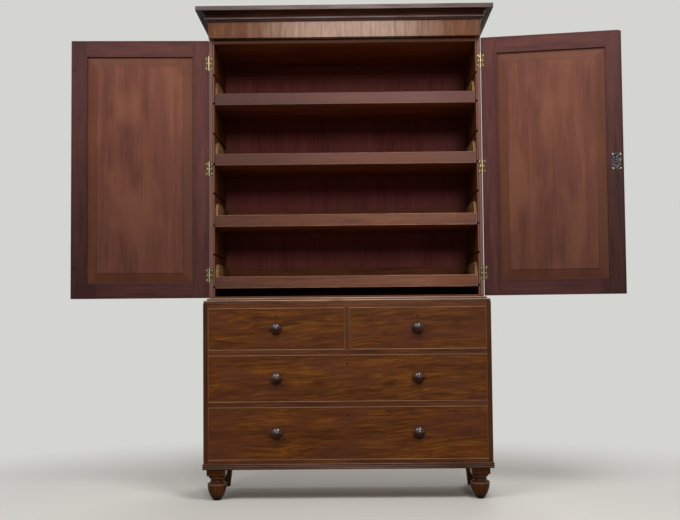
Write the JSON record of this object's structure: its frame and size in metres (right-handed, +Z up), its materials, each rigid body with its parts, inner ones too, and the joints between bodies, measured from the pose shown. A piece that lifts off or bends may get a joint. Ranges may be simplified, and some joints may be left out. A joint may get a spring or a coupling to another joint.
{
  "type": "linen press",
  "caption": "Linen press: a cupboard with two framed doors and sliding trays on a chest of drawers with turned feet.",
  "frame": {"origin": "on the floor, at the middle of the width and of the depth with the doors open as at rest", "axes": "+X to the right as one faces the press, +Y from front to back, +Z up"},
  "size_m": [2.344, 0.5768, 2.096],
  "materials": {
    "mahogany_side": "old french polish, satin",
    "mahogany_rail": "old french polish, satin",
    "mahogany_moulding": "old french polish, darkened in the hollows",
    "mahogany_frieze": "veneer, polished",
    "mahogany_frame": "dark polish, satin",
    "mahogany_panel": "thin polish, satin",
    "mahogany_drawer": "figured veneer, polished and worn",
    "mahogany_bead": "polish rubbed to light wood on the noses",
    "mahogany_tray": "dull old polish",
    "mahogany_inner": "unpolished, stained dark red",
    "mahogany_back_panel": "unpolished, stained dark red",
    "mahogany_turned": "polished",
    "mahogany_knob": "polished dark",
    "pale_wood": "bare, aged",
    "oak": "bare, aged",
    "pine": "bare, aged",
    "pine_stained": "stained dark",
    "brass": "aged, half tarnished",
    "iron": "old, darkened"
  },
  "bodies": {
    "carcass": {"chest_sides": "mahogany_side", "chest_front_frame": "mahogany_rail", "chest_dust_frames": "pine", "chest_top": "pine", "chest_back": "pine_stained", "waist_moulding": "mahogany_moulding", "base_moulding": "mahogany_moulding", "feet_front": "mahogany_turned", "feet_back": "pine_stained", "press_sides": "mahogany_side", "press_bottom": "mahogany_inner", "press_top": "mahogany_inner", "press_back_frame": "mahogany_inner", "press_back_panels": "mahogany_back_panel", "hinges_on_sides": "brass", "cornice_frieze": "mahogany_frieze", "cornice_moulding": "mahogany_moulding", "cornice_dust_board": "pine_stained"},
    "door_left": {"door_left_frame": "mahogany_frame", "door_left_panel": "mahogany_panel", "door_left_hinge_leaves": "brass"},
    "door_right": {"door_right_frame": "mahogany_frame", "door_right_panel": "mahogany_panel", "door_right_hinge_leaves": "brass", "door_right_lock": "iron"},
    "door_left_top_bolt": {"door_left_top_bolt": "iron"},
    "door_left_bottom_bolt": {"door_left_bottom_bolt": "iron"},
    "door_right_lock_bolt": {"door_right_lock_bolt": "brass"},
    "tray_1": {"tray_1_front": "mahogany_tray", "tray_1_box": "pale_wood"},
    "tray_2": {"tray_2_front": "mahogany_tray", "tray_2_box": "pale_wood"},
    "tray_3": {"tray_3_front": "mahogany_tray", "tray_3_box": "pale_wood"},
    "tray_4": {"tray_4_front": "mahogany_tray", "tray_4_box": "pale_wood"},
    "drawer_short_left": {"drawer_short_left_front": "mahogany_drawer", "drawer_short_left_cock_beads": "mahogany_bead", "drawer_short_left_box": "oak", "drawer_short_left_knobs": "mahogany_knob", "drawer_short_left_lock": "brass"},
    "drawer_short_left_bolt": {"drawer_short_left_lock_bolt": "iron"},
    "drawer_short_right": {"drawer_short_right_front": "mahogany_drawer", "drawer_short_right_cock_beads": "mahogany_bead", "drawer_short_right_box": "oak", "drawer_short_right_knobs": "mahogany_knob", "drawer_short_right_lock": "brass"},
    "drawer_short_right_bolt": {"drawer_short_right_lock_bolt": "iron"},
    "drawer_middle": {"drawer_middle_front": "mahogany_drawer", "drawer_middle_cock_beads": "mahogany_bead", "drawer_middle_box": "oak", "drawer_middle_knobs": "mahogany_knob", "drawer_middle_lock": "brass"},
    "drawer_middle_bolt": {"drawer_middle_lock_bolt": "iron"},
    "drawer_bottom": {"drawer_bottom_front": "mahogany_drawer", "drawer_bottom_cock_beads": "mahogany_bead", "drawer_bottom_box": "oak", "drawer_bottom_knobs": "mahogany_knob", "drawer_bottom_lock": "brass"},
    "drawer_bottom_bolt": {"drawer_bottom_lock_bolt": "iron"}
  },
  "joints": [
    {"name": "door_left_hinge", "type": "hinge", "parent": "carcass", "child": "door_left", "pos_m": [-0.5855, -0.18075, 1.4105], "axis": [0, 0, -1], "range_deg": [-177.5, 2.5]},
    {"name": "door_right_hinge", "type": "hinge", "parent": "carcass", "child": "door_right", "pos_m": [0.5855, -0.18075, 1.4105], "axis": [0, 0, 1], "range_deg": [-169.4, 10.6]},
    {"name": "door_left_top_bolt_slide", "type": "slide", "parent": "door_left", "child": "door_left_top_bolt", "axis": [0, 0, 1], "range_m": [0, 0.012]},
    {"name": "door_left_bottom_bolt_slide", "type": "slide", "parent": "door_left", "child": "door_left_bottom_bolt", "axis": [0, 0, -1], "range_m": [0, 0.012]},
    {"name": "door_right_lock_bolt_slide", "type": "slide", "parent": "door_right", "child": "door_right_lock_bolt", "axis": [0.9829, -0.184, 0], "range_m": [0, 0.008]},
    {"name": "tray_1_slide", "type": "slide", "parent": "carcass", "child": "tray_1", "axis": [0, -1, 0], "range_m": [0, 0.34]},
    {"name": "tray_2_slide", "type": "slide", "parent": "carcass", "child": "tray_2", "axis": [0, -1, 0], "range_m": [0, 0.34]},
    {"name": "tray_3_slide", "type": "slide", "parent": "carcass", "child": "tray_3", "axis": [0, -1, 0], "range_m": [0, 0.34]},
    {"name": "tray_4_slide", "type": "slide", "parent": "carcass", "child": "tray_4", "axis": [0, -1, 0], "range_m": [0, 0.34]},
    {"name": "drawer_short_left_slide", "type": "slide", "parent": "carcass", "child": "drawer_short_left", "axis": [0, -1, 0], "range_m": [0, 0.38]},
    {"name": "drawer_short_left_bolt_slide", "type": "slide", "parent": "drawer_short_left", "child": "drawer_short_left_bolt", "axis": [0, 0, 1], "range_m": [0, 0.008]},
    {"name": "drawer_short_right_slide", "type": "slide", "parent": "carcass", "child": "drawer_short_right", "axis": [0, -1, 0], "range_m": [0, 0.38]},
    {"name": "drawer_short_right_bolt_slide", "type": "slide", "parent": "drawer_short_right", "child": "drawer_short_right_bolt", "axis": [0, 0, 1], "range_m": [0, 0.008]},
    {"name": "drawer_middle_slide", "type": "slide", "parent": "carcass", "child": "drawer_middle", "axis": [0, -1, 0], "range_m": [0, 0.38]},
    {"name": "drawer_middle_bolt_slide", "type": "slide", "parent": "drawer_middle", "child": "drawer_middle_bolt", "axis": [0, 0, 1], "range_m": [0, 0.008]},
    {"name": "drawer_bottom_slide", "type": "slide", "parent": "carcass", "child": "drawer_bottom", "axis": [0, -1, 0], "range_m": [0, 0.38]},
    {"name": "drawer_bottom_bolt_slide", "type": "slide", "parent": "drawer_bottom", "child": "drawer_bottom_bolt", "axis": [0, 0, 1], "range_m": [0, 0.008]}
  ]
}
